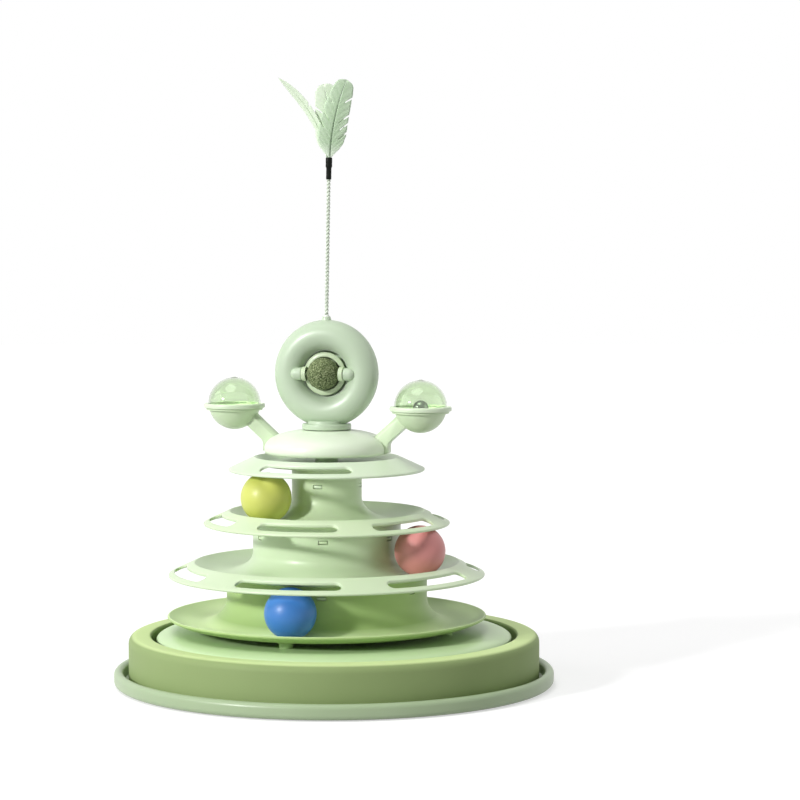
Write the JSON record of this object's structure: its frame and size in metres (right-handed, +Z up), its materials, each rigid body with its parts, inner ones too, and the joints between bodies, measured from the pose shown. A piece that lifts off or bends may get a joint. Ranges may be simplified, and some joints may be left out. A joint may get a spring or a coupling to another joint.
{
  "type": "cat ball track toy",
  "caption": "Round cat tower toy: stacked open ball tracks on a ringed base, a turning head with clear treat cups and a catnip ball, and a feather wand on top.",
  "frame": {"origin": "middle of the round base, at floor level", "axes": "+Z up through the tower, front of the toy facing -Y, +X to the right seen from the front"},
  "size_m": [0.3492, 0.3492, 0.4793],
  "materials": {
    "tray_plastic": "smooth moulded, pale mint green",
    "pad_rubber": "soft, grey green",
    "ring_plastic": "smooth moulded, lime to olive green",
    "platform_plastic": "smooth moulded, pale mint green",
    "screw_steel": "plain zinc",
    "foot_rubber": "soft, pale green",
    "track_plastic": "smooth moulded, pale mint green",
    "spindle_steel": "turned",
    "washer_plastic": "low-friction, white",
    "head_plastic": "smooth moulded, pale mint green",
    "cup_floor_plastic": "smooth moulded, pale mint green",
    "donut_plastic": "smooth moulded, pale mint green",
    "clear_plastic": "clear, polished",
    "cup_ring_plastic": "smooth moulded, pale mint green",
    "bell_chrome": "polished",
    "catnip_cover_plastic": "smooth moulded, pale lime",
    "catnip_pressed": "rough pressed leaf, speckled olive",
    "collar_plastic": "smooth moulded, pale mint green",
    "wire_steel": "twisted, pale green coated",
    "ferrule_plastic": "near black",
    "feather_dark": "grey green vane with a dark quill",
    "feather_pale": "pale mint vane",
    "ball_blue_plastic": "smooth, blue",
    "ball_pink_plastic": "smooth, dusty pink",
    "ball_yellow_plastic": "smooth, pale yellow"
  },
  "bodies": {
    "stand": {"base_tray": "tray_plastic", "base_pads": "pad_rubber", "base_ring": "ring_plastic", "platform_disc": "platform_plastic", "base_screws": "screw_steel", "tower_feet": "foot_rubber", "tower_screws": "screw_steel", "track_tray": "track_plastic", "track_lower": "track_plastic", "track_middle": "track_plastic", "track_top": "track_plastic", "spindle": "spindle_steel", "thrust_washer": "washer_plastic", "spindle_keeper": "spindle_steel"},
    "head": {"head_chassis": "head_plastic", "head_dome": "head_plastic", "arm_left": "head_plastic", "arm_right": "head_plastic", "cup_floor_left": "cup_floor_plastic", "cup_floor_right": "cup_floor_plastic", "head_screws": "screw_steel", "donut_foot": "head_plastic", "donut_front": "donut_plastic", "donut_back": "donut_plastic", "donut_screws": "screw_steel", "foot_screw": "screw_steel"},
    "left_cover": {"clear_dome_left": "clear_plastic", "cup_ring_left": "cup_ring_plastic"},
    "right_cover": {"clear_dome_right": "clear_plastic", "cup_ring_right": "cup_ring_plastic"},
    "bell": {"bell_shell": "bell_chrome", "bell_pellet": "screw_steel"},
    "catnip_holder": {"catnip_cover": "catnip_cover_plastic"},
    "catnip": {"catnip_ball": "catnip_pressed"},
    "collar": {"wand_collar": "collar_plastic"},
    "wand": {"wand_ball_end": "wire_steel", "wand_wire": "wire_steel", "wand_ferrule": "ferrule_plastic", "feather_front": "feather_dark", "feather_back": "feather_pale", "feather_side": "feather_pale"},
    "blue_ball": {"ball_blue": "ball_blue_plastic"},
    "pink_ball": {"ball_pink": "ball_pink_plastic"},
    "yellow_ball": {"ball_yellow": "ball_yellow_plastic"}
  },
  "joints": [
    {"name": "head_spin", "type": "hinge", "parent": "stand", "child": "head", "pos_m": [-0.0058, 0, 0.19], "axis": [0, 0, 1], "continuous": true},
    {"name": "blue_ball_orbit", "type": "hinge", "parent": "stand", "child": "blue_ball", "pos_m": [-0.0058, 0, 0.0693], "axis": [0, 0, 1], "continuous": true},
    {"name": "pink_ball_orbit", "type": "hinge", "parent": "stand", "child": "pink_ball", "pos_m": [-0.0058, 0, 0.11005], "axis": [0, 0, 1], "continuous": true},
    {"name": "yellow_ball_orbit", "type": "hinge", "parent": "stand", "child": "yellow_ball", "pos_m": [-0.0058, 0, 0.1508], "axis": [0, 0, 1], "continuous": true},
    {"name": "left_cover_lift", "type": "slide", "parent": "head", "child": "left_cover", "axis": [0, 0, 1], "range_m": [0, 0.03]},
    {"name": "right_cover_lift", "type": "slide", "parent": "head", "child": "right_cover", "axis": [0, 0, 1], "range_m": [0, 0.03]},
    {"name": "bell_turn", "type": "hinge", "parent": "head", "child": "bell", "pos_m": [0.06784, -0.02251, 0.22025], "axis": [0, 0, 1], "continuous": true},
    {"name": "catnip_cover_turn", "type": "hinge", "parent": "head", "child": "catnip_holder", "pos_m": [-0.00858, -0.00908, 0.2465], "axis": [0.9563, -0.2924, 0], "continuous": true},
    {"name": "catnip_ball_turn", "type": "hinge", "parent": "catnip_holder", "child": "catnip", "pos_m": [-0.00858, -0.00908, 0.2465], "axis": [0.9563, -0.2924, 0], "continuous": true},
    {"name": "collar_turn", "type": "hinge", "parent": "head", "child": "collar", "pos_m": [-0.0058, 0, 0.2904], "axis": [0, 0, 1], "continuous": true},
    {"name": "wand_sway", "type": "hinge", "parent": "collar", "child": "wand", "pos_m": [-0.0058, 0, 0.2904], "axis": [0, 1, 0], "range_deg": [-25, 23], "stiffness_Nm_per_rad": 0.12}
  ]
}
